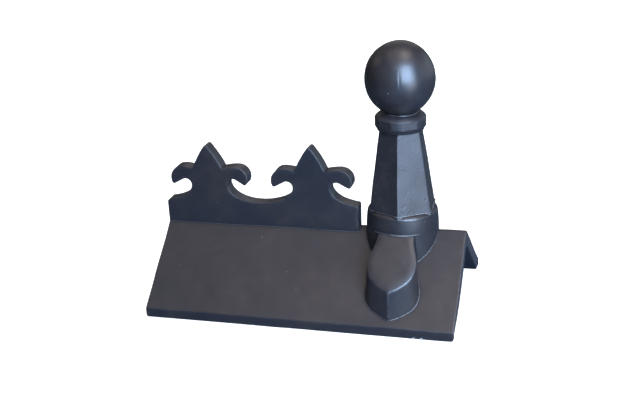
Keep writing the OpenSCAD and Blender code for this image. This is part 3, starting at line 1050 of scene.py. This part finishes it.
def blue_clay():
    """The clay's material: colour, roughness and bump worked out from where a point is."""
    bench = Bench("blue_clay")
    place = bench.node("ShaderNodeTexCoord", out="Object")

    def noise(scale, detail=3.0):
        """Noise of that many cells to the metre."""
        return bench.node("ShaderNodeTexNoise", None, {"Vector": place, "Scale": scale, "Detail": detail})

    def mask(name):
        """A mark that the mesh carries, as a number."""
        return bench.node("ShaderNodeAttribute", {"attribute_name": name}, out="Fac")

    cloud, mottle, grain = noise(7.0), noise(46.0, 4.0), noise(620.0, 2.0)
    tone = cloud * 0.5 + mottle * 0.35 + grain * 0.15
    colour = bench.mix(bench.ramp(tone, 0.36, 0.50), SLATE, DUSK)
    colour = bench.mix(bench.ramp(tone, 0.48, 0.61), colour, BROWN)
    strokes = tool_strokes(bench, place)
    scraped = mask("tooled") * bench.ramp(strokes, 0.02, 0.10)
    colour = bench.mix(scraped * 0.12, colour, SCRAPED)
    # edges painted paler in specks: rubbed wear together with a painted highlight
    edge_sheen_and_wear = mask("arris") * bench.ramp(noise(240.0, 3.0), 0.42, 0.60)
    colour = bench.mix(edge_sheen_and_wear * 0.25, colour, EDGE_SHEEN_AND_WEAR)
    # painted highlight on the seams and lips, a pale colour where they are marked
    seam_sheen = mask("slip") * bench.ramp(noise(130.0, 2.0), 0.34, 0.56)
    colour = bench.mix(seam_sheen * 0.8, colour, SEAM_SHEEN)
    colour = bench.mix(bench.ramp(mask("slip"), 1.2, 1.8), colour, BARE)
    cell = bench.node("ShaderNodeTexVoronoi", None, {"Vector": place, "Scale": 75.0})
    speck = (1.0 - bench.ramp(cell, 0.035, 0.075)) * bench.ramp(noise(24.0, 1.0), 0.50, 0.56)
    colour = bench.mix(speck * 0.7, colour, SPECKLED)
    # painted shade: the creases are darkened towards near black
    colour = bench.mix(mask("crevice") * 0.9, colour, CREASE_SHADE)

    roughness = 0.37 + (mottle - 0.5) * 0.14 + (grain - 0.5) * 0.12
    roughness = roughness + mask("arris") * 0.12 + mask("tooled") * 0.08
    height = mottle * 0.20 + noise(150.0) * 0.16 + grain * 0.07
    height = height + mask("tooled") * strokes * 0.7 - speck * 0.3
    relief = {"Strength": BUMP_STRENGTH, "Distance": BUMP_HEIGHT, "Height": height}
    surface = bench.node("ShaderNodeBsdfPrincipled", None, {
        "Base Color": colour,
        "Roughness": roughness,
        "IOR": GLAZE_IOR,
        "Normal": bench.node("ShaderNodeBump", None, relief),
    })
    bench.node("ShaderNodeOutputMaterial", None, {"Surface": surface})
    return bench.material


finish = blue_clay()
clay.data.materials.clear()
clay.data.materials.append(finish)
print(f"{finish.name}: {len(finish.node_tree.nodes)} nodes")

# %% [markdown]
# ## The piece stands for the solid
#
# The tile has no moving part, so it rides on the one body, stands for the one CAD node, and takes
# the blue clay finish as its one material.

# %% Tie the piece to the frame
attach(clay, "root")
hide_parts("finial_ridge_tile")

# %% [markdown]
# ## Floor, light and camera
#
# A dark satin body is drawn by what it reflects. One tall cool panel to the front right gives the long
# light on the shaft and the ball, a wide warm one overhead tints what faces up, and weak ones at the
# sides draw the edges. The far side is lit by a fill that the clay doesn't mirror. A picture of a real
# room could light it as well, but panels can be moved one at a time until each face looks right. The
# floor and the room are plain and pale to the eye alone: the clay gets far less back from them.

# %% Floor
BACKDROP = 0.88
PALE = (BACKDROP, BACKDROP, BACKDROP, 1)
FLOOR_SEEN = (0.50, 0.49, 0.47, 1)
RETURNED_LEAST, RETURNED_MOST = (0.018, 0.026, 0.036, 1), (0.05, 0.075, 0.118, 1)
FLOOR_HALF = 40.0


def floor_material():
    """Pale and matt to the eye. What the clay gets back from it is darker, so that its walls stay deep,
    and darker still on the left and behind, away from the window. Distances are metres."""
    bench = Bench("pale_floor")
    seen = bench.node("ShaderNodeLightPath", out="Is Camera Ray")
    place = bench.node("ShaderNodeTexCoord", out="Object")
    along, back, _ = bench.split(place)
    bright = bench.ramp(along, -0.75, -0.10) * (1.0 - bench.ramp(back, 0.10, 0.60) * 0.7)
    returned = bench.mix(bright, RETURNED_LEAST, RETURNED_MOST)
    surface = bench.node("ShaderNodeBsdfPrincipled", None, {
        "Base Color": bench.mix(seen, returned, FLOOR_SEEN),
        "Roughness": 0.9,
        "Emission Color": bench.mix(seen, (0, 0, 0, 1), PALE),
        "Emission Strength": 1.0,
    })
    bench.node("ShaderNodeOutputMaterial", None, {"Surface": surface})
    return bench.material


floor_data = bpy.data.meshes.new("floor")
corners = [(x * FLOOR_HALF, y * FLOOR_HALF, 0.0) for x, y in ((-1, -1), (1, -1), (1, 1), (-1, 1))]
floor_data.from_pydata(corners, [], [(0, 1, 2, 3)])
floor_data.materials.append(floor_material())
floor = bpy.data.objects.new("floor", floor_data)
bpy.context.scene.collection.objects.link(floor)

# %% Light panels
AIM = Vector((0.06, 0.0, 0.16))


def toward(azimuth, elevation):
    """A direction: azimuth 0 is in front and 90 to the right, and elevation is above the level."""
    a, e = math.radians(azimuth), math.radians(elevation)
    return Vector((math.sin(a) * math.cos(e), -math.cos(a) * math.cos(e), math.sin(e)))


def panel(name, azimuth, elevation, distance, size, colour, watts, mirrored=True):
    """A rectangular soft light that faces the aim. A fill light isn't mirrored in the clay."""
    data = bpy.data.lights.new(name, "AREA")
    data.shape, (data.size, data.size_y) = "RECTANGLE", size
    data.color, data.energy = colour, watts
    light = bpy.data.objects.new(name, data)
    light.location = AIM + distance * toward(azimuth, elevation)
    light.rotation_mode = "QUATERNION"
    light.rotation_quaternion = (AIM - light.location).to_track_quat("-Z", "Y")
    light.visible_camera = False
    light.visible_glossy = mirrored
    bpy.context.scene.collection.objects.link(light)
    return light


# azimuth, elevation and distance from the aim; width and height; colour; watts
panel("window", 35, 23, 2.0, (1.3, 1.5), (0.48, 0.68, 1.0), 101)
panel("low_window", 50, 0, 1.0, (0.44, 0.20), (0.86, 0.92, 1.0), 1.45)
panel("ceiling", 16, 78, 4.5, (5.8, 5.8), (1.0, 0.83, 0.77), 69)
panel("lamp", 78, 73, 3.0, (1.1, 1.1), (1.0, 0.87, 0.82), 11)
panel("behind_right", 115, 12, 2.6, (4.2, 1.5), (0.68, 0.84, 1.0), 14.5)
panel("behind", 185, 32, 2.8, (2.0, 1.0), (1.0, 0.97, 0.95), 3.5)
panel("left_high", 263, 36, 3.0, (1.3, 1.0), (1.0, 0.85, 0.76), 2.5)
panel("fill_back", 196, 20, 2.4, (2.2, 1.2), (0.84, 0.92, 1.0), 120, mirrored=False)

# %% The room
ROOM_DIM = (0.060, 0.058, 0.055, 1)


def room():
    """A dim room round the clay, and to the eye, past the floor's edge, a backdrop as pale as it."""
    world = bpy.data.worlds.new("room")
    world.use_nodes = True
    tree = world.node_tree
    seen, colour = tree.nodes.new("ShaderNodeLightPath"), tree.nodes.new("ShaderNodeMix")
    colour.data_type = "RGBA"
    colour.inputs[6].default_value, colour.inputs[7].default_value = ROOM_DIM, PALE
    tree.links.new(seen.outputs["Is Camera Ray"], colour.inputs[0])
    tree.links.new(colour.outputs[2], tree.nodes["Background"].inputs["Color"])
    return world


bpy.context.scene.world = room()
bpy.context.scene.view_settings.view_transform = "Standard"

# %% Camera
EYE = Vector((0.4274, -1.4386, 0.7205))
VIEW_AZIMUTH, VIEW_ELEVATION, VIEW_ROLL = 16.16, 20.94, -2.88
LENS, SENSOR_W = 61.96, 36.0


def camera_matrix():
    """Columns are the picture's right, its up and the way back to the eye, rolled about that last one."""
    roll = math.radians(VIEW_ROLL)
    back = toward(VIEW_AZIMUTH, VIEW_ELEVATION)
    right = Vector((0, 0, 1)).cross(back).normalized()
    up = back.cross(right)
    rolled_right = right * math.cos(roll) + up * math.sin(roll)
    rolled_up = up * math.cos(roll) - right * math.sin(roll)
    return Matrix.Translation(EYE) @ Matrix((rolled_right, rolled_up, back)).transposed().to_4x4()


camera_data = bpy.data.cameras.new("camera")
camera_data.lens, camera_data.sensor_width = LENS, SENSOR_W
camera = bpy.data.objects.new("camera", camera_data)
camera.matrix_world = camera_matrix()
bpy.context.scene.collection.objects.link(camera)
bpy.context.scene.camera = camera
print(f"the eye is {(EYE - AIM).length:.2f} m from the aim; {len(bpy.data.lights)} light panels")
